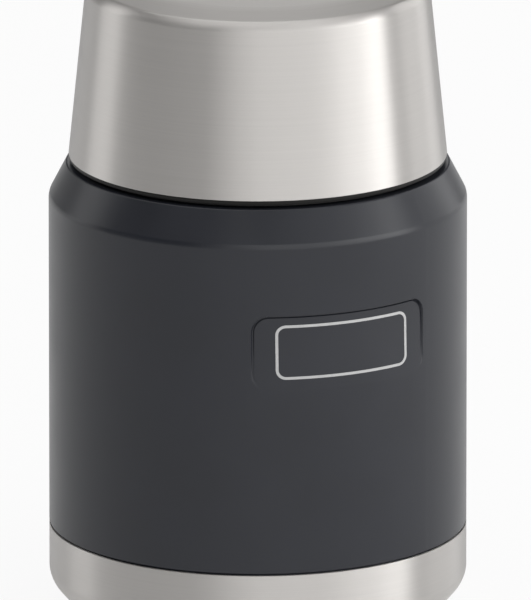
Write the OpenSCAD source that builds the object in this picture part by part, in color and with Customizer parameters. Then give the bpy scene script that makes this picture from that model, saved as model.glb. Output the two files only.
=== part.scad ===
// Insulated food jar: a double-walled steel jar with a coated body and a bare
// steel base, a screw-in stopper with a push-button steam valve, and a tall
// steel lid that screws over the neck and turns over to serve as a bowl.
// Millimetres, +Z up, origin at the middle of the foot. The badge recess faces -Y.

/* [Jar body] */
// Outside diameter of the coated body and of the steel base
body_d = 92; // [84:0.5:104]
// Height of the bare steel base, from the table to the seam
base_h = 19.3; // [17:0.1:26]
// Height of the straight coated wall, from the seam to the shoulder
wall_h = 74.5; // [60:0.5:120]
// Height of the sloping shoulder
shoulder_h = 7.5; // [5:0.1:10]
// How far the shoulder narrows on each side
shoulder_in = 3.9; // [2.5:0.1:5]
// Thickness of the steel sheet of both walls and the base
sheet = 0.7; // [0.5:0.05:0.9]
// Vacuum gap between the outer and the inner wall
vacuum_gap = 4; // [3:0.1:6]

/* [Base] */
// Height of the sloping foot of the base
slope_h = 7.3; // [5:0.1:9]
// How far the foot slopes inwards on each side
slope_in = 6.2; // [4:0.1:8]
// Width of the flat ring that stands on the table
foot_w = 3.8; // [3:0.1:6]
// Depth of the hollow under the base
foot_rise = 1.5; // [1:0.1:2.5]
// Width of the dark groove at the seam
seam_gap = 0.35; // [0.2:0.05:0.6]

/* [Neck] */
// Height of the neck above the ledge at the top of the shoulder
neck_h = 12.7; // [11:0.1:16]
// Gap between the two walls of the neck
neck_gap = 0.7; // [0.4:0.1:1.2]

/* [Badge recess] */
// Width of the recess, straight across
badge_w = 41.5; // [30:0.5:48]
// Height of the recess
badge_h = 16.8; // [10:0.1:20]
// Distance from the shoulder down to the middle of the recess
badge_drop = 24; // [20:0.5:30]
// Depth of the recess at its top
badge_depth = 0.5; // [0.3:0.1:0.8]
// Depth at its foot, where it runs out
badge_foot = 0.1; // [0.1:0.05:0.25]
// Corner radius of the recess
badge_corner = 3.6; // [2:0.1:4.5]

/* [Lid] */
// How far the lid's lower edge stands back from the edge of the shoulder
lid_inset = 0.5; // [0.3:0.1:1]
// How far the lid narrows on each side towards the top
lid_in = 3.9; // [2:0.1:4.2]
// Height of the lid's tapered wall
lid_h = 38.8; // [34:0.1:50]
// Width of the sloping band round the top of the lid
crown_w = 8.2; // [6:0.1:12]
// How far the middle of the lid's top stands above its edge
crown_h = 1.4; // [0.8:0.1:2]
// Steel thickness of the lid
lid_sheet = 0.6; // [0.4:0.05:0.7]
// Wall thickness of the plastic liner
liner_wall = 1.5; // [1.2:0.1:1.7]
// Air gap between the liner and the top of the lid
liner_air = 1; // [0.6:0.1:2]
// Thickness of the liner where its thread is cut
liner_rim = 2.6; // [2.2:0.1:3]
// Height of the liner's rim that shows under the steel
lip_h = 1; // [0.6:0.1:1.4]
// Dark gap between the liner's rim and the shoulder
lid_gap = 0.8; // [0.6:0.1:1.2]

/* [Stopper] */
// Depth of the plug below the rim of the jar
plug_depth = 17; // [16.5:0.1:18.5]
// Wall thickness of the stopper's plastic
plug_wall = 1.6; // [1.2:0.1:1.8]
// Thickness of the flange that covers the rim
flange_h = 2.2; // [1.8:0.1:3]
// Height of the stopper's cap above the flange
cap_h = 8.3; // [7.8:0.1:10]
// Number of finger flutes round the cap
flute_count = 18; // [12:1:24]
// Depth of each finger flute
flute_depth = 1.1; // [0.6:0.1:1.6]
// Thickness of the silicone ring under the flange
seal_h = 1.6; // [1.2:0.1:2.4]

/* [Steam valve] */
// Diameter of the push button
button_d = 16.6; // [14:0.2:19]
// How far the button goes down
button_travel = 2.5; // [1.5:0.1:2.7]
// Diameter of the valve's stem
stem_d = 3.2; // [2.8:0.1:3.6]
// Diameter of the silicone valve disc
valve_d = 13; // [11:0.2:15]
// Wire diameter of the spring
wire_d = 0.7; // [0.5:0.05:0.8]
// Number of turns in the spring
spring_turns = 3; // [2:0.5:3.5]

/* [Fits] */
// Gap between pieces that are pressed or welded together
press_gap = 0.05; // [0.03:0.01:0.1]
// Radial clearance of the stem in its guide
guide_gap = 0.06; // [0.03:0.01:0.1]
// Gap between pieces that move past or press on each other
rest_gap = 0.2; // [0.15:0.05:0.3]
// Room for the thread between the plug and the mouth
plug_gap = 1.3; // [1.1:0.1:1.6]
// Room for the thread between the neck and the lid's liner
thread_gap = 1.6; // [1.4:0.1:1.7]

/* [Hidden] */
$fn = 96;

// Heights, from the table up
seam_z = base_h;
shoulder_z = seam_z + wall_h;
ledge_z = shoulder_z + shoulder_h;
rim_z = ledge_z + neck_h;
lip_z = ledge_z + lid_gap;
lid_z = lip_z + lip_h;
lid_edge_z = lid_z + lid_h;
crown_z = lid_edge_z + crown_h;

// Radii, from the outside inwards: body, shoulder, lid, liner's thread, neck, mouth
body_r = body_d / 2;
shoulder_r = body_r - shoulder_in;
lid_r = shoulder_r - lid_inset;
thread_r = lid_r - lid_sheet - rest_gap - liner_rim;
neck_r = thread_r - thread_gap;
mouth_r = neck_r - 2 * sheet - neck_gap;
hem_r = body_r - sheet - press_gap;
vessel_r = body_r - sheet - vacuum_gap;
foot_r = body_r - slope_in;

// Jar bottom: the outer shell's hem ends just above the slope of the base cup
hem_z = slope_h + sheet;
plate_z = hem_z + 0.4;
plate_r = hem_r - sheet - press_gap;
plate_skirt = 3.5;
dimple_r = 3.2;
dimple_h = 1;
bleed_r = 1;
floor_z = plate_z + sheet + vacuum_gap;
vessel_round = 8;
badge_z = shoulder_z - badge_drop;

// The inner vessel's shoulder keeps clear of the outer one
inner_neck_z = ledge_z - sheet - vacuum_gap * 0.8;
inner_shoulder_z = inner_neck_z - (vessel_r - mouth_r - sheet);

getter_x = 15;
getter_r = 5.5;
getter_h = 1.1;
tray_wall = 0.3;

// Stopper heights and radii
plug_z = rim_z - plug_depth;
flange_z = rim_z + seal_h + 2 * rest_gap;
flange_top_z = flange_z + flange_h;
cap_top_z = flange_top_z + cap_h;
plug_r = mouth_r - plug_gap;
flange_r = neck_r - 0.6;
cup_r = plug_r - plug_wall;
cap_r = flange_r - 1.2;
cap_skirt = 2.5;

// Steam valve, worked out from the stem outwards and from the seat upwards
stem_r = stem_d / 2;
guide_r = stem_r + guide_gap;
vent_r = stem_r + 1.2;
tube_r = vent_r + plug_wall;
notch_w = 0.9;
valve_r = valve_d / 2;
valve_h = 1.6;
seat_z = plug_z + 1.2;
seat_ring_h = 0.3;
seat_ring_r = valve_r - 1.9;
seat_ring_w = 0.8;
valve_pocket_r = valve_r + 0.7;
valve_top_z = seat_z - seat_ring_h - rest_gap / 2;
clip_h = 0.6;
clip_r = stem_r + 1.8;
stem_low_z = valve_top_z - valve_h - clip_h - 0.7;
button_r = button_d / 2;
well_r = button_r + rest_gap + 0.1;
well_z = flange_top_z + plug_wall + 0.3;
button_proud = 0.5;
button_top_z = cap_top_z + button_proud;
button_roof = 1.6;
button_roof_z = button_top_z - button_roof;
button_low_z = well_z + button_travel + 0.9;
boss_r = stem_r + 1.2;
boss_low_z = well_z + button_travel + 0.2;
spring_r = boss_r + (button_r - 1.2 - boss_r) / 2;

// Lid: the liner follows the inside of the tapered steel
lid_top_r = lid_r - lid_in;
crown_r = lid_top_r - crown_w;
liner_top_z = lid_edge_z - lid_sheet - liner_air;
ceiling_z = liner_top_z - liner_wall;
thread_top_z = rim_z + 1;
lip_top_z = lid_z - lid_sheet * lid_in / lid_h;
groove_h = 0.8;
groove_r = lid_r - 1.2;
lid_seal_r = neck_r + 1.4;

// Steps in each rounded corner, and sides of the spring's wire
round_steps = 6;
wire_sides = 8;
steps_per_turn = 20;

// ---- Outlines ----

function unit(v) = v / norm(v);
function left_of(v) = [-v[1], v[0]];
function flat(p) = [p[0], p[1]];
function reversed(list) = [for (i = [len(list) - 1 : -1 : 0]) list[i]];

// Points of a round of radius rad in the corner b between a and c
function fillet(a, b, c, rad) =
  let (
    u = unit(a - b),
    v = unit(c - b),
    half = acos(u * v) / 2,
    centre = b + unit(u + v) * rad / sin(half),
    from = b + u * rad / tan(half) - centre,
    to = b + v * rad / tan(half) - centre,
    turn = (from[0] * to[1] - from[1] * to[0] > 0 ? 1 : -1) * (180 - 2 * half),
    start = atan2(from[1], from[0])
  )
  [for (i = [0 : round_steps])
    centre + rad * [cos(start + turn * i / round_steps), sin(start + turn * i / round_steps)]];

// An open outline of [r, z, corner radius] points, with its corners rounded
function rounded(points) =
  [for (i = [0 : len(points) - 1])
    let (p = points[i])
    each (i == 0 || i == len(points) - 1 || len(p) < 3
      ? [flat(p)]
      : fillet(flat(points[i - 1]), flat(p), flat(points[i + 1]), p[2]))];

// A closed rounded rectangle about the origin
function rounded_rectangle(w, h, rad) =
  let (
    c = [[-w / 2, -h / 2], [w / 2, -h / 2], [w / 2, h / 2], [-w / 2, h / 2]]
  )
  [for (i = [0 : 3]) each fillet(c[(i + 3) % 4], c[i], c[(i + 1) % 4], rad)];

// The outline moved by t to its left, with mitred corners
function moved(path, t) =
  let (last = len(path) - 1)
  [for (i = [0 : last])
    let (
      before = left_of(unit(path[i == 0 ? 1 : i] - path[i == 0 ? 0 : i - 1])),
      after = left_of(unit(path[i == last ? last : i + 1] - path[i == last ? last - 1 : i]))
    )
    path[i] + t * (before + after) / (1 + before * after)];

// Outside radius of the lid's steel, and the two faces of its liner, at height z
function lid_out(z) = lid_r - lid_in * (z - lid_z) / lid_h;
function liner_out(z) = lid_out(z) - lid_sheet - rest_gap;
function liner_in(z) = liner_out(z) - liner_wall;

// A turned piece from its outline
module turned(points) {
  rotate_extrude() polygon(points);
}

// A pressed sheet piece: the outline is its outer face, and the sheet lies to its left
module pressed(points, t) {
  path = rounded(points);
  turned(concat(path, reversed(moved(path, t))));
}

// A plain ring between two radii and two heights
module ring(r_in, r_out, z_low, z_high) {
  turned([[r_in, z_low], [r_out, z_low], [r_out, z_high], [r_in, z_high]]);
}

// ---- Jar ----

// The badge recess as a bar along -Y, grown all round by extra
module badge_bar(extra = 0) {
  translate([0, 0, badge_z])
    rotate([90, 0, 0])
      linear_extrude(body_r + 5)
        polygon(rounded_rectangle(badge_w + 2 * extra, badge_h + 2 * extra, badge_corner + extra));
}

// Everything round the axis from inside to the radius out, past a face that leans with the recess's floor
module leaning_ring(inside, out) {
  reach = badge_h / 2 + 2;
  lean = reach * (badge_depth - badge_foot) / badge_h;
  middle_r = body_r - (badge_depth + badge_foot) / 2 - inside;
  turned([
    [middle_r + lean, badge_z - reach],
    [out, badge_z - reach],
    [out, badge_z + reach],
    [middle_r - lean, badge_z + reach]
  ]);
}

module outer_shell() {
  color([0.22, 0.22, 0.24])
    difference() {
      union() {
        pressed([
          [hem_r, hem_z],
          [hem_r, seam_z + seam_gap - 0.2],
          [body_r, seam_z + seam_gap],
          [body_r, shoulder_z, 3],
          [shoulder_r, ledge_z, 0.9],
          [neck_r, ledge_z],
          [neck_r, rim_z - sheet]
        ], sheet);
        // the sheet bulges inwards behind the recess
        intersection() {
          badge_bar(sheet);
          leaning_ring(sheet, body_r - sheet / 2);
        }
      }
      intersection() {
        badge_bar();
        leaning_ring(0, body_r + 2);
      }
    }
}

module inner_vessel() {
  color([0.78, 0.77, 0.75])
    pressed([
      [0, floor_z],
      [vessel_r, floor_z, vessel_round],
      [vessel_r, inner_shoulder_z, 3],
      [mouth_r + sheet, inner_neck_z, 2],
      [mouth_r + sheet, rim_z - sheet],
      [neck_r, rim_z - sheet]
    ], sheet);
}

module base_cup() {
  color([0.74, 0.72, 0.7])
    pressed([
      [0, foot_rise],
      [foot_r - foot_w - foot_rise, foot_rise, 0.9],
      [foot_r - foot_w, 0, 0.9],
      [foot_r, 0, 1.4],
      [body_r, slope_h, 2.5],
      [body_r, seam_z]
    ], sheet);
}

module bottom_plate() {
  color([0.7, 0.7, 0.68])
    pressed([
      [bleed_r, plate_z + dimple_h],
      [dimple_r, plate_z + dimple_h],
      [dimple_r + dimple_h, plate_z],
      [plate_r, plate_z, 2],
      [plate_r, plate_z + plate_skirt]
    ], sheet);
}

// The bead that closes the bleed hole after the air is drawn out
module vacuum_plug() {
  bead_top_z = plate_z + dimple_h - press_gap;
  color([0.3, 0.3, 0.32])
    turned(rounded([
      [0, bead_top_z],
      [0, plate_z + 0.1],
      [dimple_r - 0.8, plate_z + 0.1, 0.5],
      [dimple_r - 0.5, bead_top_z]
    ]));
}

module getter() {
  top_z = floor_z - press_gap;
  color([0.45, 0.45, 0.43])
    translate([getter_x, 0, top_z - getter_h])
      cylinder(r = getter_r, h = getter_h);
}

// A pressed steel tray, spot-welded under the vessel, that holds the getter
module getter_tray() {
  top_z = floor_z - press_gap;
  well_low_z = top_z - getter_h - press_gap - tray_wall;
  color([0.72, 0.72, 0.7])
    translate([getter_x, 0, 0])
      difference() {
        union() {
          translate([0, 0, well_low_z])
            cylinder(r = getter_r + press_gap + tray_wall, h = top_z - well_low_z);
          translate([0, 0, top_z - tray_wall])
            cylinder(r = getter_r + 2, h = tray_wall);
        }
        translate([0, 0, well_low_z + tray_wall])
          cylinder(r = getter_r + press_gap, h = getter_h + 1);
      }
}

// ---- Stopper ----

module stopper_seal() {
  color([0.85, 0.85, 0.83])
    turned(rounded([
      [plug_r + rest_gap, rim_z + rest_gap + seal_h / 2],
      [plug_r + rest_gap, rim_z + rest_gap],
      [flange_r, rim_z + rest_gap, 0.5],
      [flange_r, flange_z - rest_gap, 0.5],
      [plug_r + rest_gap, flange_z - rest_gap]
    ]));
}

module stopper_body() {
  floor_top_z = plug_z + plug_wall;
  pocket_top_z = seat_z + plug_wall;
  color([0.16, 0.16, 0.17])
    turned(rounded([
      [vent_r, seat_z],
      [seat_ring_r, seat_z],
      [seat_ring_r, seat_z - seat_ring_h],
      [seat_ring_r + seat_ring_w, seat_z - seat_ring_h],
      [seat_ring_r + seat_ring_w, seat_z],
      [valve_pocket_r, seat_z],
      [valve_pocket_r, plug_z],
      [plug_r, plug_z, 2],
      [plug_r, flange_z],
      [flange_r, flange_z, 0.5],
      [flange_r, flange_top_z, 0.5],
      [cup_r, flange_top_z],
      [cup_r, floor_top_z, 1.5],
      [valve_pocket_r + plug_wall, floor_top_z],
      [valve_pocket_r + plug_wall, pocket_top_z],
      [tube_r, pocket_top_z],
      [tube_r, well_z - plug_wall - press_gap],
      [vent_r, well_z - plug_wall - press_gap]
    ]));
}

module stopper_foam() {
  low_z = seat_z + plug_wall + press_gap;
  top_z = flange_top_z - press_gap;
  step_z = flange_top_z - cap_skirt - press_gap;
  floor_low_z = plug_z + plug_wall + press_gap;
  boss = valve_pocket_r + plug_wall + press_gap;
  color([0.93, 0.9, 0.78])
    turned(rounded([
      [tube_r + press_gap, low_z],
      [boss, low_z],
      [boss, floor_low_z],
      [cup_r - press_gap, floor_low_z, 1.6],
      [cup_r - press_gap, step_z],
      [cup_r - 1.8 - press_gap, step_z],
      [cup_r - 1.8 - press_gap, top_z],
      [tube_r + press_gap, top_z]
    ]));
}

module stopper_cap() {
  skirt_r = cup_r - press_gap;
  wall_in_r = cup_r - 1.8;
  roof_z = cap_top_z - plug_wall;
  floor_low_z = well_z - plug_wall;
  color([0.2, 0.2, 0.21])
    difference() {
      turned(rounded([
        [guide_r, floor_low_z],
        [well_r + plug_wall, floor_low_z],
        [well_r + plug_wall, roof_z],
        [wall_in_r, roof_z],
        [wall_in_r, flange_top_z - cap_skirt],
        [skirt_r, flange_top_z - cap_skirt],
        [skirt_r, flange_top_z],
        [cap_r, flange_top_z],
        [cap_r, cap_top_z, 2],
        [well_r, cap_top_z, 0.6],
        [well_r, well_z],
        [guide_r, well_z]
      ]));
      // finger flutes
      for (i = [0 : flute_count - 1])
        rotate([0, 0, 360 * i / flute_count])
          translate([cap_r + 3 - flute_depth, 0, flange_top_z + 1])
            cylinder(r = 3, h = cap_h, $fn = 32);
      // notches that let the steam past the stem
      for (i = [0 : 2])
        rotate([0, 0, 120 * i])
          translate([0, -notch_w / 2, floor_low_z - 1])
            cube([vent_r, notch_w, plug_wall + 2]);
    }
}

// ---- Steam valve ----

module relief_button() {
  skirt_in_r = button_r - 1.2;
  color([0.6, 0.6, 0.6])
    turned(rounded([
      [0, button_top_z - 0.4],
      [button_r - 3, button_top_z - 0.4],
      [button_r - 2.4, button_top_z],
      [button_r, button_top_z, 0.6],
      [button_r, button_low_z],
      [skirt_in_r, button_low_z],
      [skirt_in_r, button_roof_z],
      [boss_r, button_roof_z],
      [boss_r, boss_low_z],
      [stem_r + press_gap, boss_low_z],
      [stem_r + press_gap, button_roof_z + 0.5],
      [0, button_roof_z + 0.5]
    ]));
}

module relief_stem() {
  collar_low_z = valve_top_z + press_gap;
  color([0.75, 0.75, 0.73])
    turned([
      [0, stem_low_z],
      [stem_r - 0.3, stem_low_z],
      [stem_r, stem_low_z + 0.3],
      [stem_r, collar_low_z],
      [stem_r + 0.7, collar_low_z],
      [stem_r + 0.7, collar_low_z + 0.9],
      [stem_r, collar_low_z + 0.9],
      [stem_r, button_roof_z + 0.5 - press_gap],
      [0, button_roof_z + 0.5 - press_gap]
    ]);
}

// Round wire wound between the floor of the well and the roof of the button
module relief_spring() {
  wire_r = wire_d / 2;
  low_z = well_z + wire_r + press_gap;
  rise = button_roof_z - well_z - wire_d - 2 * press_gap;
  rings = spring_turns * steps_per_turn;
  points = [
    for (i = [0 : rings])
      for (k = [0 : wire_sides - 1])
        let (
          turn = 360 * i / steps_per_turn,
          side = 360 * k / wire_sides,
          r = spring_r + wire_r * cos(side)
        )
        [r * cos(turn), r * sin(turn), low_z + rise * i / rings + wire_r * sin(side)]
  ];
  walls = [
    for (i = [0 : rings - 1])
      for (k = [0 : wire_sides - 1])
        let (n = (k + 1) % wire_sides, a = i * wire_sides, b = a + wire_sides)
        each [[a + k, b + k, b + n], [a + k, b + n, a + n]]
  ];
  ends = [
    [for (k = [0 : wire_sides - 1]) k],
    [for (k = [wire_sides - 1 : -1 : 0]) rings * wire_sides + k]
  ];
  color([0.8, 0.8, 0.8])
    polyhedron(points = points, faces = concat(walls, ends));
}

module relief_valve() {
  color([0.85, 0.85, 0.83])
    turned(rounded([
      [stem_r + press_gap, valve_top_z - valve_h],
      [valve_r - 1, valve_top_z - valve_h],
      [valve_r, valve_top_z - 0.8, 0.3],
      [valve_r, valve_top_z],
      [stem_r + press_gap, valve_top_z]
    ]));
}

module valve_clip() {
  top_z = valve_top_z - valve_h - press_gap;
  color([0.75, 0.75, 0.73])
    difference() {
      ring(stem_r + press_gap, clip_r, top_z - clip_h, top_z);
      // the gaps between the clip's teeth
      for (i = [0 : 4])
        rotate([0, 0, 72 * i])
          translate([stem_r, -0.3, top_z - clip_h - 1])
            cube([1, 0.6, clip_h + 2]);
    }
}

// ---- Lid ----

module lid_seal() {
  color([0.1, 0.1, 0.1])
    turned(rounded([
      [lid_seal_r, ledge_z + rest_gap],
      [groove_r - rest_gap, ledge_z + rest_gap, 0.3],
      [groove_r - rest_gap, lip_z + groove_h - rest_gap],
      [lid_seal_r, lip_z + groove_h - rest_gap]
    ]));
}

module lid_liner() {
  color([0.14, 0.13, 0.13])
    turned(rounded([
      [groove_r, lip_z],
      [lid_r - rest_gap, lip_z, 0.3],
      [lid_r - rest_gap, lip_top_z],
      [liner_out(lip_top_z), lip_top_z],
      [liner_out(liner_top_z), liner_top_z, 7],
      [0, liner_top_z],
      [0, ceiling_z],
      [liner_in(ceiling_z), ceiling_z, 6],
      [liner_in(thread_top_z + 1), thread_top_z + 1],
      [thread_r, thread_top_z],
      [thread_r, lip_z + groove_h],
      [groove_r, lip_z + groove_h]
    ]));
}

module lid_shell() {
  color([0.76, 0.74, 0.72])
    pressed([
      [lid_r, lid_z],
      [lid_top_r, lid_edge_z, 1.4],
      [crown_r, crown_z, 3],
      [0, crown_z]
    ], lid_sheet);
}

outer_shell();
inner_vessel();
base_cup();
bottom_plate();
vacuum_plug();
getter();
getter_tray();
stopper_seal();
stopper_body();
stopper_foam();
stopper_cap();
relief_button();
relief_stem();
relief_spring();
relief_valve();
valve_clip();
lid_seal();
lid_liner();
lid_shell();
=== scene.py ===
# Looks of the insulated food jar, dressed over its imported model.
# Outlines are in millimetres: distance from the axis, height and, where it differs, the corner's radius.
import math

import bmesh
import bpy
from mathutils import Matrix, Vector


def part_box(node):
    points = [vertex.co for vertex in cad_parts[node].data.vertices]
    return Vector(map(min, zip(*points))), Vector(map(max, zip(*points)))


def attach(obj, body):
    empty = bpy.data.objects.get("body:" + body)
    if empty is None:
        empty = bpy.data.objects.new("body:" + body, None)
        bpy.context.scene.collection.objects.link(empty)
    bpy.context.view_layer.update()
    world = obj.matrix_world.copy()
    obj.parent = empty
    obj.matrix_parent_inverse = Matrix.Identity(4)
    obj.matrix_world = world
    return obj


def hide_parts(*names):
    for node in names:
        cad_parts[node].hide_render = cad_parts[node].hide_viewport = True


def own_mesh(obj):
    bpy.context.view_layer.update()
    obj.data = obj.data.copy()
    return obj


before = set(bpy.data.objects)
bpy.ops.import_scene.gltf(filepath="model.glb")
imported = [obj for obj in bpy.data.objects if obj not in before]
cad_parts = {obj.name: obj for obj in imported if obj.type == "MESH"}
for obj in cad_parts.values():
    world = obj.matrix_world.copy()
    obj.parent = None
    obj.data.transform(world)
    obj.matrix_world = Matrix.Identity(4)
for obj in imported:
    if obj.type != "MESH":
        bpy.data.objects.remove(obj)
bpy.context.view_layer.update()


def nodeBox(node):
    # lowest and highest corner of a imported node, in millimetres
    low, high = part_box(node)
    return low * 1000, high * 1000


# sizes that several pieces share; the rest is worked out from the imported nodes
shared = {
    "sheet": 0.7, "restGap": 0.2, "shoulderH": 7.5, "neckGap": 0.7, "flangeInset": 0.6,
    "threadLead": 15.0, "threadStarts": 3, "threadRunOut": 2.0, "threadRows": 0.35, "threadFlat": 1.25,
    "wallSlack": 0.05, "mergeDist": 0.002, "cutAngle": 60, "sharpAngle": 35,
}
corner = {"tight": 0.05, "crisp": 0.1, "soft": 0.2, "full": 0.3}  # radii of small corners
sheet = shared["sheet"]
bodyR = nodeBox("base_cup")[1].x
seamZ = nodeBox("base_cup")[1].z
hemZ = nodeBox("outer_shell")[0].z
rimZ = nodeBox("inner_vessel")[1].z
floorZ = nodeBox("inner_vessel")[0].z
vesselR = nodeBox("inner_vessel")[1].x
ledgeZ = nodeBox("lid_seal")[0].z - shared["restGap"]
shoulderZ = ledgeZ - shared["shoulderH"]
neckR = nodeBox("stopper_body")[1].x + shared["flangeInset"]
mouthR = neckR - 2 * sheet - shared["neckGap"]


# helpers for turned pieces

def drawOutline(points, closed=True, edgeRound=0.15):
    # a wire in the XZ plane; corners off the axis get their own radius or edgeRound
    bm = bmesh.new()
    corners = [bm.verts.new((point[0], 0, point[1])) for point in points]
    for first, second in zip(corners, corners[1:]):
        bm.edges.new((first, second))
    if closed:
        bm.edges.new((corners[-1], corners[0]))
    last = len(points) - 1
    for i, point in enumerate(points):
        radius = point[2] if len(point) > 2 else edgeRound
        if point[0] == 0 or radius == 0 or (not closed and i in (0, last)):
            continue
        here = Vector(point[:2])
        before = Vector(points[i - 1][:2]) - here
        after = Vector(points[0 if i == last else i + 1][:2]) - here
        cut = radius / math.tan(before.angle(after) / 2)
        steps = 2 if radius < 0.4 else 4 if radius < 2 else 8
        bmesh.ops.bevel(bm, geom=[corners[i]], offset=cut, offset_type="OFFSET", segments=steps,
                        profile=0.5, affect="VERTICES", material=-1)
    return bm


def addRows(bm, low, high, rowHeight):
    # cuts the long edges of a wire between two heights into rows
    for edge in bm.edges[:]:
        bottom, top = sorted(vert.co.z for vert in edge.verts)
        if bottom > low - 0.01 and top < high + 0.01 and top - bottom > 2 * rowHeight:
            bmesh.ops.subdivide_edges(bm, edges=[edge], cuts=int((top - bottom) / rowHeight))


def spinRound(bm, *stretches, start=0):
    # turns the wire round the axis in stretches of (degrees, steps) and closes it
    bmesh.ops.rotate(bm, verts=bm.verts, cent=(0, 0, 0), matrix=Matrix.Rotation(math.radians(start), 3, "Z"))
    edge = bm.verts[:] + bm.edges[:]
    for degrees, steps in stretches:
        made = bmesh.ops.spin(bm, geom=edge, cent=(0, 0, 0), axis=(0, 0, 1), dvec=(0, 0, 0),
                              angle=math.radians(degrees), steps=steps,
                              use_merge=degrees == 360, use_duplicate=False)
        edge = made["geom_last"]
    bmesh.ops.remove_doubles(bm, verts=bm.verts, dist=shared["mergeDist"])
    bmesh.ops.recalc_face_normals(bm, faces=bm.faces)


def thickenSheet(bm, thickness, edgeRound):
    # gives a pressed sheet its thickness on the inner side and rounds its cut edges
    bmesh.ops.solidify(bm, geom=bm.faces[:], thickness=thickness)
    cut = [edge for edge in bm.edges if edge.calc_face_angle(0) > math.radians(shared["cutAngle"])]
    bmesh.ops.bevel(bm, geom=cut, offset=edgeRound, offset_type="OFFSET", segments=2,
                    profile=0.5, affect="EDGES", material=-1)


def smoothStep(share):
    share = min(max(share, 0), 1)
    return share * share * (3 - 2 * share)


def addThread(bm, wallR, low, high, thread):
    # raises a right-handed thread on the wall of radius wallR; a negative height goes inwards
    pitch = shared["threadLead"] / shared["threadStarts"]
    for vert in bm.verts:
        reach = math.hypot(vert.co.x, vert.co.y)
        if abs(reach - wallR) > shared["wallSlack"] or not low < vert.co.z < high:
            continue
        turn = math.atan2(vert.co.y, vert.co.x) / (2 * math.pi)
        along = (vert.co.z - shared["threadLead"] * turn - thread["phase"]) % pitch
        off = abs(along - pitch / 2) / (thread["width"] / 2)
        if off < 1:
            ends = (smoothStep((vert.co.z - low) / shared["threadRunOut"])
                    * smoothStep((high - vert.co.z) / shared["threadRunOut"]))
            flank = smoothStep(shared["threadFlat"] * (1 - off))
            grown = 1 + thread["height"] * ends * flank / reach
            vert.co.x *= grown
            vert.co.y *= grown


def makePiece(bm, name, body, material, nodes):
    # turns a bmesh in millimetres into a finished object in metres
    bmesh.ops.scale(bm, vec=(0.001, 0.001, 0.001), verts=bm.verts)
    mesh = bpy.data.meshes.new(name)
    bm.to_mesh(mesh)
    bm.free()
    mesh.materials.append(material)
    mesh.shade_smooth()
    mesh.set_sharp_from_angle(angle=math.radians(shared["sharpAngle"]))
    piece = bpy.data.objects.new(name, mesh)
    bpy.context.collection.objects.link(piece)
    shading = piece.modifiers.new("flatterFaces", "WEIGHTED_NORMAL")
    shading.keep_sharp = True
    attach(piece, body)
    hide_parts(*nodes)
    print("made", name, len(mesh.polygons), "faces")
    return piece


# helpers for materials

def addNode(tree, kind, inputs, **options):
    # inputs are numbers, colours or the sockets that feed them; returns the first output
    node = tree.nodes.new(kind)
    for option, value in options.items():
        setattr(node, option, value)
    for key, value in inputs.items():
        if isinstance(value, bpy.types.NodeSocket):
            tree.links.new(value, node.inputs[key])
        else:
            node.inputs[key].default_value = value
    return node.outputs[0]


def startMaterial(name, values):
    # a material with its shader's plain values, and where its patterns are placed
    material = bpy.data.materials.new(name)
    material.use_nodes = True
    shader = material.node_tree.nodes["Principled BSDF"]
    for key, value in values.items():
        shader.inputs[key].default_value = value
    place = material.node_tree.nodes.new("ShaderNodeTexCoord").outputs["Object"]
    return material, material.node_tree, shader, place


def varyColour(tree, shader, value, low, high, look):
    # as the value goes from low to high, the look's colour goes from a little darker to a little lighter
    share = addNode(tree, "ShaderNodeMapRange", {"Value": value, "From Min": low, "From Max": high})
    colour = tree.nodes.new("ShaderNodeMix")
    colour.data_type = "RGBA"
    tree.links.new(share, colour.inputs["Factor"])
    colour.inputs["A"].default_value = [channel * (1 - look["change"]) for channel in look["colour"]] + [1]
    colour.inputs["B"].default_value = [channel * (1 + look["change"]) for channel in look["colour"]] + [1]
    tree.links.new(colour.outputs["Result"], shader.inputs["Base Color"])


def varyGloss(tree, shader, value, low, high, look):
    gloss = addNode(tree, "ShaderNodeMapRange", {
        "Value": value, "From Min": low, "From Max": high,
        "To Min": look["roughness"] - look["glossChange"], "To Max": look["roughness"] + look["glossChange"]})
    tree.links.new(gloss, shader.inputs["Roughness"])


def addBump(tree, shader, height, look):
    bump = addNode(tree, "ShaderNodeBump", {
        "Height": height, "Strength": look["bump"], "Distance": look["depth"]})
    tree.links.new(bump, shader.inputs["Normal"])


def grainyMaterial(name, look):
    # fine moulded or sprayed grain: a bump, with a little change of colour and gloss
    material, tree, shader, place = startMaterial(name, look.get("values", {}))
    grain = addNode(tree, "ShaderNodeTexNoise", {"Vector": place, "Scale": look["grain"], "Detail": 2.0})
    cloud = addNode(tree, "ShaderNodeTexNoise", {"Vector": place, "Scale": look["cloud"], "Detail": 3.0})
    both = addNode(tree, "ShaderNodeMath", {0: grain, 1: cloud}, operation="MULTIPLY")
    varyColour(tree, shader, both, 0.1, 0.4, look)  # nearly all of the noise lies between these values
    varyGloss(tree, shader, cloud, 0.3, 0.7, look)
    addBump(tree, shader, grain, look)
    return material


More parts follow.
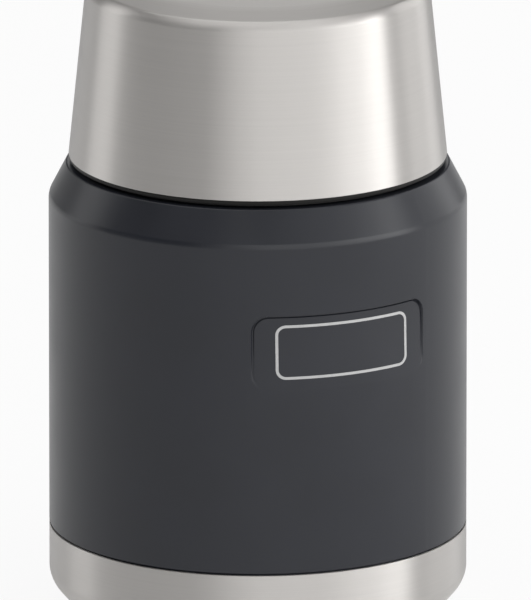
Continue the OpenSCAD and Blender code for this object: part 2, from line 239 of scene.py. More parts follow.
def brushedSteel(name, look):
    # stainless steel brushed round the axis: the lines run along the turn, the shine spreads across them
    material, tree, shader, place = startMaterial(name, {
        "Metallic": 1.0, "Anisotropic": look["stretch"], "Anisotropic Rotation": 0.25})
    split = tree.nodes.new("ShaderNodeSeparateXYZ")
    tree.links.new(place, split.inputs[0])
    x, y, z = split.outputs
    reach = tree.nodes.new("ShaderNodeVectorMath")
    reach.operation = "LENGTH"
    tree.links.new(addNode(tree, "ShaderNodeCombineXYZ", {0: x, 1: y}), reach.inputs[0])
    across = addNode(tree, "ShaderNodeMath", {0: reach.outputs["Value"], 1: look["drift"], 2: z},
                     operation="MULTIPLY_ADD")
    lines = []
    for scale, run in ((look["lines"], look["run"]), (look["bands"], look["run"] / 3)):
        spread = addNode(tree, "ShaderNodeCombineXYZ", {
            0: addNode(tree, "ShaderNodeMath", {0: x, 1: run}, operation="MULTIPLY"),
            1: addNode(tree, "ShaderNodeMath", {0: y, 1: run}, operation="MULTIPLY"),
            2: addNode(tree, "ShaderNodeMath", {0: across, 1: scale}, operation="MULTIPLY")})
        lines.append(addNode(tree, "ShaderNodeTexNoise", {"Vector": spread, "Scale": 1.0, "Detail": 3.0}))
    both = addNode(tree, "ShaderNodeMath", {0: lines[0], 1: lines[1]}, operation="ADD")
    varyColour(tree, shader, both, 0.75, 1.25, look)  # nearly all of the sum lies between these values
    varyGloss(tree, shader, both, 0.75, 1.25, look)
    addBump(tree, shader, lines[0], look)
    # the direction of the brushing, which turns with the piece
    back = addNode(tree, "ShaderNodeMath", {0: y, 1: -1.0}, operation="MULTIPLY")
    turned = addNode(tree, "ShaderNodeCombineXYZ", {0: back, 1: x})
    along = addNode(tree, "ShaderNodeVectorTransform", {0: turned},
                    vector_type="VECTOR", convert_from="OBJECT", convert_to="WORLD")
    tree.links.new(along, shader.inputs["Tangent"])
    return material


# finishes, named for what they are on the real jar

steelLook = {
    "colour": (0.60, 0.58, 0.56), "roughness": 0.40, "glossChange": 0.02, "stretch": 0.94,
    "lines": 5200.0, "bands": 1500.0, "run": 26.0, "drift": 1.0, "change": 0.022,
    "bump": 0.09, "depth": 0.00002,
}
lidSteel = brushedSteel("lidSteel", steelLook | {"drift": -1.0})
lidTopSteel = brushedSteel("lidTopSteel", steelLook | {
    "roughness": 0.42, "stretch": 0.35, "drift": -1.0, "change": 0.03})
baseSteel = brushedSteel("baseSteel", steelLook)
drawnSteel = brushedSteel("drawnSteel", steelLook | {
    "roughness": 0.34, "stretch": 0.6, "lines": 2500.0, "change": 0.03})

powderCoat = grainyMaterial("powderCoat", {
    "colour": (0.0138, 0.0154, 0.0216), "change": 0.12, "roughness": 0.32, "glossChange": 0.02,
    "grain": 7000.0, "cloud": 60.0, "bump": 0.25, "depth": 0.00003, "values": {"Specular IOR Level": 0.48},
})
darkPlastic = grainyMaterial("darkPlastic", {
    "colour": (0.030, 0.030, 0.032), "change": 0.1, "roughness": 0.5, "glossChange": 0.04,
    "grain": 5000.0, "cloud": 80.0, "bump": 0.3, "depth": 0.00003,
})
linerPlastic = grainyMaterial("linerPlastic", {
    "colour": (0.010, 0.0095, 0.009), "change": 0.08, "roughness": 0.46, "glossChange": 0.04,
    "grain": 3500.0, "cloud": 50.0, "bump": 0.12, "depth": 0.00002, "values": {"Specular IOR Level": 0.2},
})
buttonPlastic = grainyMaterial("buttonPlastic", {
    "colour": (0.32, 0.32, 0.33), "change": 0.04, "roughness": 0.42, "glossChange": 0.04,
    "grain": 4500.0, "cloud": 90.0, "bump": 0.2, "depth": 0.00002,
})
clearSilicone = grainyMaterial("clearSilicone", {
    "colour": (0.60, 0.60, 0.58), "change": 0.03, "roughness": 0.45, "glossChange": 0.06,
    "grain": 2500.0, "cloud": 120.0, "bump": 0.1, "depth": 0.00002,
    "values": {"Subsurface Weight": 0.5, "Subsurface Radius": (0.002, 0.002, 0.0018),
               "Subsurface Scale": 1.0},
})
blackSilicone = grainyMaterial("blackSilicone", {
    "colour": (0.020, 0.020, 0.020), "change": 0.1, "roughness": 0.55, "glossChange": 0.05,
    "grain": 2500.0, "cloud": 150.0, "bump": 0.1, "depth": 0.00002,
})
sealingGlass = grainyMaterial("sealingGlass", {
    "colour": (0.12, 0.12, 0.13), "change": 0.2, "roughness": 0.14, "glossChange": 0.05,
    "grain": 1500.0, "cloud": 400.0, "bump": 0.08, "depth": 0.00003,
})
pressedPowder = grainyMaterial("pressedPowder", {
    "colour": (0.18, 0.18, 0.17), "change": 0.35, "roughness": 0.8, "glossChange": 0.08,
    "grain": 6000.0, "cloud": 900.0, "bump": 0.6, "depth": 0.00008, "values": {"Metallic": 0.4},
})
closedFoam = grainyMaterial("closedFoam", {
    "colour": (0.80, 0.76, 0.62), "change": 0.08, "roughness": 0.85, "glossChange": 0.05,
    "grain": 1800.0, "cloud": 300.0, "bump": 0.6, "depth": 0.0003,
})
printedSilver = grainyMaterial("printedSilver", {
    "colour": (0.50, 0.50, 0.50), "change": 0.05, "roughness": 0.45, "glossChange": 0.06,
    "grain": 3000.0, "cloud": 500.0, "bump": 0.1, "depth": 0.00002, "values": {"Metallic": 0.35},
})
brightWire = grainyMaterial("brightWire", {
    "colour": (0.60, 0.60, 0.60), "change": 0.04, "roughness": 0.22, "glossChange": 0.04,
    "grain": 2500.0, "cloud": 200.0, "bump": 0.06, "depth": 0.00002, "values": {"Metallic": 1.0},
})
print("materials made")


# the jar: coated shell, bare neck, inner vessel, base and badge frame

recess = {
    "width": 41.5, "height": 16.8, "corner": 3.6, "middleZ": shoulderZ - 24,
    "depth": 0.5, "edge": 0.2, "grooveWidth": 0.4, "grooveDepth": 0.3,
}
shell = {
    "hemR": bodyR - 0.75, "seamGap": 0.55, "seamRound": 0.3, "joggle": 0.4, "joggleRound": 0.1,
    "shoulderR": bodyR - 3.9, "shoulderRound": 3.0, "ledgeRound": 0.5, "coatEndR": neckR + 2.3,
    "edgeRound": 0.15, "margin": 1.0, "rowHeight": 0.35, "edgeRow": 0.1,
    "middleSteps": 60, "sideSteps": 46, "otherSteps": 130,
}


def recessDepth(x, z):
    # the recess is pressed in at its top, with a fine groove along its edge, and runs out at its foot
    sideways = max(abs(x) - (recess["width"] / 2 - recess["corner"]), 0)
    upwards = max(abs(z - recess["middleZ"]) - (recess["height"] / 2 - recess["corner"]), 0)
    inside = recess["corner"] - math.hypot(sideways, upwards)
    step = smoothStep(inside / recess["edge"])
    groove = smoothStep((recess["grooveWidth"] - inside) / recess["edge"] + 1)
    fade = (z - recess["middleZ"]) / recess["height"] + 0.5
    return step * (recess["depth"] + recess["grooveDepth"] * groove) * min(max(fade, 0), 1)


def makeCoatedShell():
    recessLow = recess["middleZ"] - recess["height"] / 2 - shell["margin"]
    recessHigh = recess["middleZ"] + recess["height"] / 2 + shell["margin"]
    edgeLow = recess["middleZ"] + recess["height"] / 2 - recess["corner"]
    bm = drawOutline([
        (shell["hemR"], hemZ),
        (shell["hemR"], seamZ + shell["seamGap"] - shell["joggle"], shell["joggleRound"]),
        (bodyR, seamZ + shell["seamGap"], shell["seamRound"]),
        (bodyR, recessLow, 0),
        (bodyR, edgeLow, 0),
        (bodyR, recessHigh, 0),
        (bodyR, shoulderZ, shell["shoulderRound"]),
        (shell["shoulderR"], ledgeZ, shell["ledgeRound"]),
        (shell["coatEndR"], ledgeZ),
    ], closed=False)
    addRows(bm, recessLow, edgeLow, shell["rowHeight"])
    addRows(bm, edgeLow, recessHigh, shell["edgeRow"])
    # narrow columns only where the recess has its two sides
    half = math.degrees(math.asin((recess["width"] / 2 + shell["margin"]) / bodyR))
    middleHalf = math.degrees(math.asin((recess["width"] / 2 - recess["corner"]) / bodyR))
    side = (half - middleHalf, shell["sideSteps"])
    spinRound(bm, side, (2 * middleHalf, shell["middleSteps"]), side, (360 - 2 * half, shell["otherSteps"]),
              start=-90 - half)
    bm.normal_update()
    thickenSheet(bm, sheet, shell["edgeRound"])
    for vert in bm.verts:
        reach = math.hypot(vert.co.x, vert.co.y)
        if vert.co.y < 0 and recessLow < vert.co.z < recessHigh:
            vert.co.xy *= 1 - recessDepth(vert.co.x * bodyR / reach, vert.co.z) / reach
    makePiece(bm, "coatedShell", "jar", powderCoat, ["outer_shell"])


def makeSteelNeck():
    neck = {
        "footRound": 0.5, "edgeRound": 0.12, "threadLow": 1.2, "threadHigh": 1.4,
        "thread": {"height": 1.0, "width": 2.4, "phase": 0.0},
    }
    bm = drawOutline([
        (shell["coatEndR"], ledgeZ),
        (neckR, ledgeZ, neck["footRound"]),
        (neckR, rimZ - sheet),
    ], closed=False)
    addRows(bm, ledgeZ, rimZ, shared["threadRows"])
    spinRound(bm, (360, 240))
    addThread(bm, neckR, ledgeZ + neck["threadLow"], rimZ - neck["threadHigh"], neck["thread"])
    bm.normal_update()
    thickenSheet(bm, sheet, neck["edgeRound"])
    makePiece(bm, "steelNeck", "jar", drawnSteel, ["outer_shell"])


def makeVessel():
    vessel = {
        "bottomRound": 8.0, "neckDrop": 3.9, "shoulderRound": 3.0, "neckRound": 2.0, "edgeRound": 0.25,
        "threadLow": 1.4, "threadHigh": 2.0, "thread": {"height": -0.7, "width": 2.2, "phase": 0.0},
    }
    outerMouthR = mouthR + sheet
    neckZ = ledgeZ - vessel["neckDrop"]
    vesselShoulderZ = neckZ - (vesselR - outerMouthR)
    bm = drawOutline([
        (0, floorZ),
        (vesselR, floorZ, vessel["bottomRound"]),
        (vesselR, vesselShoulderZ, vessel["shoulderRound"]),
        (outerMouthR, neckZ, vessel["neckRound"]),
        (outerMouthR, rimZ - sheet, corner["crisp"]),
        (neckR, rimZ - sheet),
    ], closed=False)
    addRows(bm, neckZ, rimZ, shared["threadRows"])
    spinRound(bm, (360, 240))
    addThread(bm, outerMouthR, neckZ + vessel["threadLow"], rimZ - vessel["threadHigh"], vessel["thread"])
    bm.normal_update()
    thickenSheet(bm, sheet, vessel["edgeRound"])
    makePiece(bm, "innerVessel", "jar", drawnSteel, ["inner_vessel"])


def makeBase():
    base = {
        "rise": 1.5, "ringIn": 36.0, "ringRound": 0.9, "footR": 39.8, "footRound": 1.4,
        "slopeH": 7.3, "slopeRound": 5.5, "edgeRound": 0.18,
    }
    bm = drawOutline([
        (0, base["rise"]),
        (base["ringIn"] - base["rise"], base["rise"], base["ringRound"]),
        (base["ringIn"], 0, base["ringRound"]),
        (base["footR"], 0, base["footRound"]),
        (bodyR, base["slopeH"], base["slopeRound"]),
        (bodyR, seamZ),
    ], closed=False)
    spinRound(bm, (360, 256))
    thickenSheet(bm, sheet, base["edgeRound"])
    makePiece(bm, "steelBase", "jar", baseSteel, ["base_cup"])


def makeBadgeFrame():
    # a bare silver outline on the recess's floor
    badge = {
        "width": 31.6, "height": 12.2, "corner": 2.2, "line": 0.6, "thickness": 0.08,
        "cornerSteps": 10, "sideCuts": 40, "middleZ": recess["middleZ"] + 0.1, "maxR": bodyR - 0.01,
    }
    bm = bmesh.new()
    corners = [bm.verts.new((sideX * badge["width"] / 2, 0, sideZ * badge["height"] / 2))
               for sideX, sideZ in ((-1, -1), (1, -1), (1, 1), (-1, 1))]
    face = bm.faces.new(corners)
    bmesh.ops.bevel(bm, geom=corners, offset=badge["corner"], offset_type="OFFSET",
                    segments=badge["cornerSteps"], profile=0.5, affect="VERTICES", material=-1)
    bmesh.ops.inset_individual(bm, faces=bm.faces[:], thickness=badge["line"], use_even_offset=True)
    middle = max(bm.faces, key=lambda face: face.calc_area())
    bmesh.ops.delete(bm, geom=[middle], context="FACES_ONLY")
    longEdges = [edge for edge in bm.edges if edge.calc_length() > badge["corner"] + badge["line"]]
    bmesh.ops.subdivide_edges(bm, edges=longEdges, cuts=badge["sideCuts"], use_grid_fill=True)
    for vert in bm.verts:
        z = vert.co.z + badge["middleZ"]
        frameR = min(bodyR - recessDepth(vert.co.x, z) + badge["thickness"], badge["maxR"])
        vert.co = (vert.co.x, -math.sqrt(frameR ** 2 - vert.co.x ** 2), z)
    bmesh.ops.recalc_face_normals(bm, faces=bm.faces)
    if sum(face.normal.y for face in bm.faces) > 0:
        bmesh.ops.reverse_faces(bm, faces=bm.faces)
    bmesh.ops.solidify(bm, geom=bm.faces[:], thickness=badge["thickness"])
    makePiece(bm, "badgeFrame", "jar", printedSilver, [])


makeCoatedShell()
makeSteelNeck()
makeVessel()
makeBase()
makeBadgeFrame()


# the lid: steel cup, plastic bowl and gasket

lidLow, lidHigh = nodeBox("lid_shell")
linerLow, linerHigh = nodeBox("lid_liner")
lid = {
    "baseZ": lidLow.z, "baseR": bodyR - 4.4, "edgeZ": lidHigh.z - 1.4, "edgeR": bodyR - 8.3,
    "edgeRound": 2.6, "crownR": bodyR - 16.5, "crownRound": 20.0, "sheet": 0.6, "cutRound": 0.15, "air": 0.2,
    "topSteelIn": 1.3, "topSteelDown": 2.0,
}


def lidOuter(z):
    return lid["baseR"] - (lid["baseR"] - lid["edgeR"]) * (z - lid["baseZ"]) / (lid["edgeZ"] - lid["baseZ"])


def makeLidShell():
    bm = drawOutline([
        (lid["baseR"], lid["baseZ"]),
        (lid["edgeR"], lid["edgeZ"], lid["edgeRound"]),
        (lid["crownR"], lidHigh.z, lid["crownRound"]),
        (0, lidHigh.z),
    ], closed=False)
    spinRound(bm, (360, 256))
    thickenSheet(bm, lid["sheet"], lid["cutRound"])
    for face in bm.faces:
        middle = face.calc_center_median()
        inwards = lid["edgeR"] - math.hypot(middle.x, middle.y)
        if inwards > lid["topSteelIn"] and middle.z > lid["edgeZ"] - lid["topSteelDown"]:
            face.material_index = 1
    piece = makePiece(bm, "lidShell", "lid", lidSteel, ["lid_shell"])
    piece.data.materials.append(lidTopSteel)


def makeLidBowl():
    bowl = {
        "wall": 1.5, "topRound": 7.0, "insideRound": 6.0, "lipIn": 1.2, "lipDrop": 0.06, "grooveH": 0.8,
        "threadGap": 1.6, "threadRise": 1.0, "step": 1.0, "stepRound": 0.6, "edgeRound": 0.4,
        "threadLow": 1.6, "threadHigh": 1.2, "thread": {"height": -1.2, "width": 2.2, "phase": 2.5},
    }
    threadR = neckR + bowl["threadGap"]
    threadTop = rimZ + bowl["threadRise"]
    stepTop = threadTop + bowl["step"]
    grooveR = lid["baseR"] - bowl["lipIn"]
    grooveTop = linerLow.z + bowl["grooveH"]
    lipTop = lid["baseZ"] - bowl["lipDrop"]
    ceilingZ = linerHigh.z - bowl["wall"]

    def outer(z):
        return lidOuter(z) - lid["sheet"] - lid["air"]

    bm = drawOutline([
        (grooveR, linerLow.z),
        (lid["baseR"] - lid["air"], linerLow.z, corner["full"]),
        (lid["baseR"] - lid["air"], lipTop, corner["crisp"]),
        (outer(lipTop), lipTop, 0),
        (outer(linerHigh.z), linerHigh.z, bowl["topRound"]),
        (0, linerHigh.z),
        (0, ceilingZ),
        (outer(ceilingZ) - bowl["wall"], ceilingZ, bowl["insideRound"]),
        (outer(stepTop) - bowl["wall"], stepTop, bowl["stepRound"]),
        (threadR, threadTop, bowl["edgeRound"]),
        (threadR, grooveTop),
        (grooveR, grooveTop),
    ])
    addRows(bm, linerLow.z, threadTop, shared["threadRows"])
    spinRound(bm, (360, 240))
    addThread(bm, threadR, linerLow.z + bowl["threadLow"], threadTop - bowl["threadHigh"], bowl["thread"])
    makePiece(bm, "lidBowl", "lid", linerPlastic, ["lid_liner"])


def makeLidGasket():
    gasket = {"gap": 1.4, "slopeIn": 0.3, "slopeOut": 0.9, "slopeH": 0.35, "topRound": 0.25}
    low, high = nodeBox("lid_seal")
    innerR = neckR + gasket["gap"]
    bm = drawOutline([
        (innerR + gasket["slopeIn"], low.z + gasket["slopeH"], corner["soft"]),
        (innerR + gasket["slopeOut"], low.z, corner["full"]),
        (high.x, low.z, corner["full"]),
        (high.x, high.z, gasket["topRound"]),
        (innerR, high.z, corner["soft"]),
        (innerR, high.z - gasket["slopeH"], corner["crisp"]),
    ])
    spinRound(bm, (360, 180))
    makePiece(bm, "lidGasket", "lid_ring", blackSilicone, ["lid_seal"])


makeLidShell()
makeLidBowl()
makeLidGasket()


# the stopper: plug, fluted cap and silicone ring

plugLow, plugHigh = nodeBox("stopper_body")
capLow, capHigh = nodeBox("stopper_cap")
stopper = {
    "wall": 1.6, "plugR": mouthR - 1.3, "flangeH": 2.2,
    "flangeZ": nodeBox("stopper_seal")[1].z + shared["restGap"],
    "ventR": 2.8, "pocketR": 7.2, "seatZ": plugLow.z + 1.2, "seatR": 4.6, "seatW": 0.8, "seatH": 0.3,
    "wellR": 8.6, "wellZ": plugHigh.z + 1.65,
}


def makePlug():
    plug = {
        "bottomRound": 2.0, "flangeRound": 0.5, "cupRound": 1.5, "rowsFrom": 1.5,
        "threadLow": 2.6, "threadHigh": 2.4, "thread": {"height": 0.9, "width": 2.0, "phase": 2.5},
    }
    wall = stopper["wall"]
    seatZ = stopper["seatZ"]
    cupR = stopper["plugR"] - wall
    tubeR = stopper["ventR"] + wall
    pocketOut = stopper["pocketR"] + wall
    flangeZ = stopper["flangeZ"]
    bm = drawOutline([
        (stopper["ventR"], seatZ),
        (stopper["seatR"], seatZ, corner["tight"]),
        (stopper["seatR"], seatZ - stopper["seatH"], corner["crisp"]),
        (stopper["seatR"] + stopper["seatW"], seatZ - stopper["seatH"], corner["crisp"]),
        (stopper["seatR"] + stopper["seatW"], seatZ, corner["tight"]),
        (stopper["pocketR"], seatZ, corner["full"]),
        (stopper["pocketR"], plugLow.z, corner["full"]),
        (stopper["plugR"], plugLow.z, plug["bottomRound"]),
        (stopper["plugR"], flangeZ, corner["crisp"]),
        (plugHigh.x, flangeZ, plug["flangeRound"]),
        (plugHigh.x, flangeZ + stopper["flangeH"], plug["flangeRound"]),
        (cupR, flangeZ + stopper["flangeH"]),
        (cupR, plugLow.z + wall, plug["cupRound"]),
        (pocketOut, plugLow.z + wall),
        (pocketOut, seatZ + wall),
        (tubeR, seatZ + wall),
        (tubeR, plugHigh.z),
        (stopper["ventR"], plugHigh.z),
    ])
    addRows(bm, plugLow.z + plug["rowsFrom"], flangeZ, shared["threadRows"])
    spinRound(bm, (360, 240))
    addThread(bm, stopper["plugR"], plugLow.z + plug["threadLow"], rimZ - plug["threadHigh"], plug["thread"])
    makePiece(bm, "stopperPlug", "stopper", darkPlastic, ["stopper_body"])


def makeCap():
    cap = {
        "flutes": 18, "fluteR": 3.0, "fluteDepth": 1.1, "fluteZ": capLow.z + 3.5, "fluteRun": 0.15,
        "fluteSteps": 20, "soft": 0.25, "skirt": 2.5, "wallIn": 1.8, "fitGap": 0.05, "topRound": 2.0,
        "wellRound": 0.6, "guideR": 1.66,
    }
    wall = stopper["wall"]
    topZ = capHigh.z
    flangeTop = capLow.z + cap["skirt"]
    wellOut = stopper["wellR"] + wall
    cupR = stopper["plugR"] - wall
    bm = drawOutline([
        (cap["guideR"], stopper["wellZ"] - wall),
        (wellOut, stopper["wellZ"] - wall),
        (wellOut, topZ - wall),
        (cupR - cap["wallIn"], topZ - wall),
        (cupR - cap["wallIn"], capLow.z),
        (cupR - cap["fitGap"], capLow.z),
        (cupR - cap["fitGap"], flangeTop, corner["tight"]),
        (capHigh.x, flangeTop, corner["soft"]),
        (capHigh.x, cap["fluteZ"] - cap["fluteRun"], 0),
        (capHigh.x, cap["fluteZ"] + cap["fluteRun"], 0),
        (capHigh.x, topZ, cap["topRound"]),
        (stopper["wellR"], topZ, cap["wellRound"]),
        (stopper["wellR"], stopper["wellZ"]),
        (cap["guideR"], stopper["wellZ"]),
    ])
    spinRound(bm, (360, cap["flutes"] * cap["fluteSteps"]))
    centreR = capHigh.x + cap["fluteR"] - cap["fluteDepth"]
    spacing = 2 * math.pi / cap["flutes"]
    for vert in bm.verts:
        reach = math.hypot(vert.co.x, vert.co.y)
        if vert.co.z < cap["fluteZ"] or reach < capHigh.x - 2 * cap["topRound"]:
            continue
        turn = math.atan2(vert.co.y, vert.co.x)
        off = centreR * math.sin(turn - spacing * round(turn / spacing))
        if abs(off) < cap["fluteR"]:
            flute = math.sqrt(centreR ** 2 - off ** 2) - math.sqrt(cap["fluteR"] ** 2 - off ** 2)
            gap = flute - reach
            # a soft minimum, so that each flute has a rounded edge
            inwards = 0.5 * (gap - math.sqrt(gap * gap + cap["soft"] ** 2)) + 0.05 * cap["soft"]
            vert.co.xy *= (reach + min(inwards, 0)) / reach
    makePiece(bm, "flutedCap", "stopper", darkPlastic, ["stopper_cap"])


def makeStopperRing():
    ring = {"gap": 0.2, "lipRound": 0.45, "grooveH": 0.25, "grooveIn": 0.3}
    low, high = nodeBox("stopper_seal")
    middle = (low.z + high.z) / 2
    innerR = stopper["plugR"] + ring["gap"]
    bm = drawOutline([
        (innerR, low.z, corner["soft"]),
        (high.x, low.z, ring["lipRound"]),
        (high.x, middle - ring["grooveH"], corner["crisp"]),
        (high.x - ring["grooveIn"], middle, corner["crisp"]),
        (high.x, middle + ring["grooveH"], corner["crisp"]),
        (high.x, high.z, ring["lipRound"]),
        (innerR, high.z, corner["soft"]),
    ])
    spinRound(bm, (360, 180))
    makePiece(bm, "stopperRing", "stopper_ring", clearSilicone, ["stopper_seal"])


makePlug()
makeCap()
makeStopperRing()


# the steam valve: button, spring and disc; its rod and clip are shown as packed

def makeButton():
    high = nodeBox("relief_button")[1]
    button = {
        "wall": 1.2, "roof": 1.6, "roofRound": 0.4, "dish": 0.5, "dishEdge": 0.35, "dishIn": 3.4,
        "dishRound": 6.0, "rimIn": 1.6, "rimRound": 1.2, "edgeRound": 0.6, "bossR": 2.8, "boreR": 1.65,
        "boreDeep": 0.5, "skirt": 3.5, "boss": 4.2,
    }
    roofZ = high.z - button["roof"]
    boreZ = roofZ + button["boreDeep"]
    bm = drawOutline([
        (0, high.z - button["dish"]),
        (high.x - button["dishIn"], high.z - button["dishEdge"], button["dishRound"]),
        (high.x - button["rimIn"], high.z, button["rimRound"]),
        (high.x, high.z, button["edgeRound"]),
        (high.x, high.z - button["skirt"], corner["soft"]),
        (high.x - button["wall"], high.z - button["skirt"], corner["soft"]),
        (high.x - button["wall"], roofZ, button["roofRound"]),
        (button["bossR"], roofZ, corner["full"]),
        (button["bossR"], high.z - button["boss"]),
        (button["boreR"], high.z - button["boss"]),
        (button["boreR"], boreZ),
        (0, boreZ),
    ])
    spinRound(bm, (360, 128))
    makePiece(bm, "pushButton", "relief", buttonPlastic, ["relief_button"])


def makeSpring():
    # a round wire with closed ends, wound between the well's floor and the button
    low, high = nodeBox("relief_spring")
    spring = {"wireR": 0.35, "turns": 3, "perTurn": 36, "wireSteps": 5, "mergeDist": 0.001}
    coilR = high.x - spring["wireR"]
    steps = spring["turns"] * spring["perTurn"]
    curve = bpy.data.curves.new("springWire", "CURVE")
    curve.dimensions = "3D"
    curve.bevel_depth = spring["wireR"]
    curve.bevel_resolution = spring["wireSteps"]
    curve.use_fill_caps = True
    line = curve.splines.new("POLY")
    line.points.add(steps)
    for i, point in enumerate(line.points):
        turn = 2 * math.pi * i / spring["perTurn"]
        z = low.z + spring["wireR"] + (high.z - low.z - 2 * spring["wireR"]) * i / steps
        point.co = (coilR * math.cos(turn), coilR * math.sin(turn), z, 1)
    wire = bpy.data.objects.new("springWire", curve)
    bpy.context.collection.objects.link(wire)
    bm = bmesh.new()
    bm.from_mesh(wire.to_mesh())
    bpy.data.objects.remove(wire)
    bmesh.ops.remove_doubles(bm, verts=bm.verts, dist=spring["mergeDist"])
    bmesh.ops.recalc_face_normals(bm, faces=bm.faces)
    piece = makePiece(bm, "coilSpring", "stopper", brightWire, ["relief_spring"])
    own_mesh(piece)


def makeValveDisc():
    disc = {"holeR": 1.65, "slopeIn": 2.2, "slopeRound": 0.6, "edge": 0.8, "edgeRound": 0.35}
    low, high = nodeBox("relief_valve")
    bm = drawOutline([
        (disc["holeR"], low.z, corner["crisp"]),
        (high.x - disc["slopeIn"], low.z, disc["slopeRound"]),
        (high.x, high.z - disc["edge"], disc["edgeRound"]),
        (high.x, high.z, corner["soft"]),
        (disc["holeR"], high.z, corner["crisp"]),
    ])
    spinRound(bm, (360, 96))
    makePiece(bm, "valveDisc", "relief", clearSilicone, ["relief_valve"])


makeButton()
makeSpring()
makeValveDisc()

# nodes that are shown as packed get their finish
finishes = {
    "bottom_plate": drawnSteel, "vacuum_plug": sealingGlass, "getter": pressedPowder,
    "getter_tray": drawnSteel, "stopper_foam": closedFoam, "relief_stem": brightWire,
    "valve_clip": brightWire,
}
for node, material in finishes.items():
    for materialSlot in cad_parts[node].material_slots:
        materialSlot.material = material
print("pieces dressed")


# camera, floor and light

view = {
    "azimuth": -25.0, "pitch": 15.36, "distance": 5.2, "aimZ": 69.36,
    "frameW": 531, "frameH": 600, "halfWidth": 209.02, "axisX": 257.86,  # in pixels
    "sensor": 36, "clipStart": 0.1, "clipEnd": 50,
}
studio = {
    "floor": {"Base Color": (0.92, 0.92, 0.92, 1), "Roughness": 0.9, "Specular IOR Level": 0.1},
    "floorHalf": 6.0, "floorGlow": 0.9, "mirroredGlow": 0.3,
    "worldColour": (1, 1, 1, 1), "worldStrength": 0.1, "lampAimZ": 0.08,
    # azimuth to the camera's right, height of the middle, distance, width and height in metres, watts
    "softboxes": {
        "frontBox": (28, 0.55, 1.5, 2.0, 1.1, 9.9),
        # stacked boxes that get narrower, for a soft rise in brightness
        "frontLeftBox1": (-18, 0.55, 1.3, 0.58, 1.1, 0.6),
        "frontLeftBox2": (-14.2, 0.55, 1.3, 0.4, 1.1, 0.45),
        "frontLeftBox3": (-10, 0.55, 1.3, 0.21, 1.1, 0.25),
        "rightBox1": (65.5, 0.4, 1.3, 1.24, 0.8, 1.2),
        "rightBox2": (70.5, 0.4, 1.3, 0.97, 0.8, 1.3),
        "rightBox3": (75.5, 0.4, 1.3, 0.72, 0.8, 2.9),
        "rightBox4": (80.5, 0.37, 1.3, 0.48, 0.74, 0.7),
        "rightBox5": (84.5, 0.37, 1.3, 0.3, 0.74, 0.5),
        "farSideBox": (96, 0.55, 1.3, 0.44, 1.1, 0.4),
        "backRightBox": (114, 0.55, 1.3, 0.44, 1.1, 1.5),
        "backCornerBox": (134, 0.55, 1.3, 0.44, 1.1, 2.3),
        "backBox": (180, 0.55, 1.3, 0.44, 1.1, 1.0),
        "backLeftBox": (-112, 0.55, 1.3, 0.6, 1.1, 2.4),
        "farLeftBox": (-140, 0.55, 1.3, 0.44, 1.1, 0.4),
        "highLeftBox": (-72, 1.15, 1.2, 1.5, 0.5, 1.0),
        "topBox": (0, 1.9, 0.01, 2.4, 2.4, 19.5),
    },
}


def sideways(angle):
    # a level direction, turned to the camera's right from the line towards the camera
    turn = math.radians(view["azimuth"] + angle)
    return Vector((math.sin(turn), -math.cos(turn), 0))


def addCamera():
    pixel = bodyR / view["halfWidth"] / 1000
    cameraData = bpy.data.cameras.new("camera")
    cameraData.sensor_width = view["sensor"]
    cameraData.lens = cameraData.sensor_width * view["distance"] / pixel / view["frameH"]
    camera = bpy.data.objects.new("camera", cameraData)
    bpy.context.collection.objects.link(camera)
    bpy.context.scene.camera = camera
    pitch = math.radians(view["pitch"])
    back = sideways(0) * math.cos(pitch) + Vector((0, 0, math.sin(pitch)))
    aim = Vector((0, 0, view["aimZ"] / 1000)) + sideways(90) * (view["frameW"] / 2 - view["axisX"]) * pixel
    camera.location = aim + back * view["distance"]
    camera.rotation_euler = (-back).to_track_quat("-Z", "Y").to_euler()
    cameraData.clip_start = view["clipStart"]
    cameraData.clip_end = view["clipEnd"]


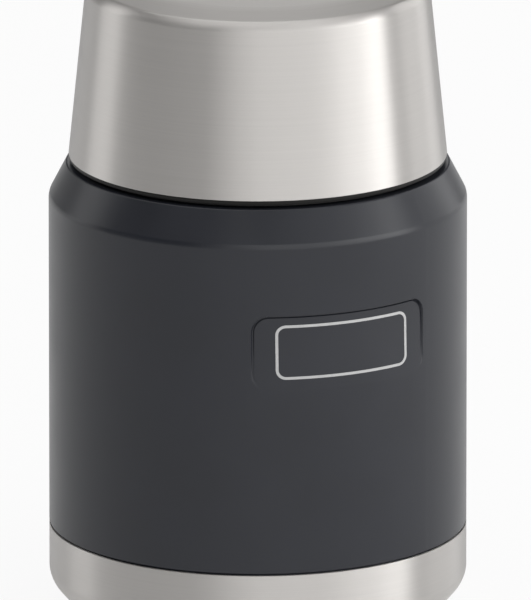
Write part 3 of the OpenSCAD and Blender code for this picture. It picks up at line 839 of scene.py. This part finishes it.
def addFloor():
    bm = bmesh.new()
    bmesh.ops.create_grid(bm, x_segments=1, y_segments=1, size=studio["floorHalf"])
    mesh = bpy.data.meshes.new("floor")
    bm.to_mesh(mesh)
    bm.free()
    floor = bpy.data.objects.new("floor", mesh)
    bpy.context.collection.objects.link(floor)
    material, tree, shader = startMaterial("paleFloor", studio["floor"])[:3]
    # the camera sees the floor as nearly white with a faint shadow, and reflections see less of that white
    rays = tree.nodes.new("ShaderNodeLightPath").outputs
    mirrored = addNode(tree, "ShaderNodeMath", {0: rays["Is Glossy Ray"], 1: rays["Is Transmission Ray"]},
                       operation="MAXIMUM")
    share = addNode(tree, "ShaderNodeMath", {0: rays["Is Camera Ray"], 1: studio["floorGlow"]},
                    operation="MULTIPLY")
    share = addNode(tree, "ShaderNodeMath", {0: mirrored, 1: studio["mirroredGlow"], 2: share},
                    operation="MULTIPLY_ADD")
    white = addNode(tree, "ShaderNodeEmission", {"Color": (1, 1, 1, 1), "Strength": 1.0})
    both = addNode(tree, "ShaderNodeMixShader", {0: share, 1: shader.outputs[0], 2: white})
    tree.links.new(both, tree.nodes["Material Output"].inputs["Surface"])
    mesh.materials.append(material)


def addLights():
    world = bpy.data.worlds.new("studio")
    world.use_nodes = True
    tree = world.node_tree
    background = tree.nodes["Background"]
    background.inputs["Color"].default_value = studio["worldColour"]
    # seen straight it is white, while it gives only a little light
    seen = tree.nodes.new("ShaderNodeLightPath").outputs["Is Camera Ray"]
    strength = addNode(tree, "ShaderNodeMath", {
        0: seen, 1: 1 - studio["worldStrength"], 2: studio["worldStrength"]}, operation="MULTIPLY_ADD")
    tree.links.new(strength, background.inputs["Strength"])
    bpy.context.scene.world = world
    for name, (angle, height, distance, width, tall, watts) in studio["softboxes"].items():
        lamp = bpy.data.lights.new(name, "AREA")
        lamp.shape = "RECTANGLE"
        lamp.size = width
        lamp.size_y = tall
        lamp.energy = watts
        box = bpy.data.objects.new(name, lamp)
        bpy.context.collection.objects.link(box)
        box.location = sideways(angle) * distance + Vector((0, 0, height))
        back = box.location - Vector((0, 0, studio["lampAimZ"]))
        box.rotation_euler = back.to_track_quat("Z", "Y").to_euler()


addCamera()
addFloor()
addLights()
bpy.context.scene.view_settings.view_transform = "Standard"
print("studio set")
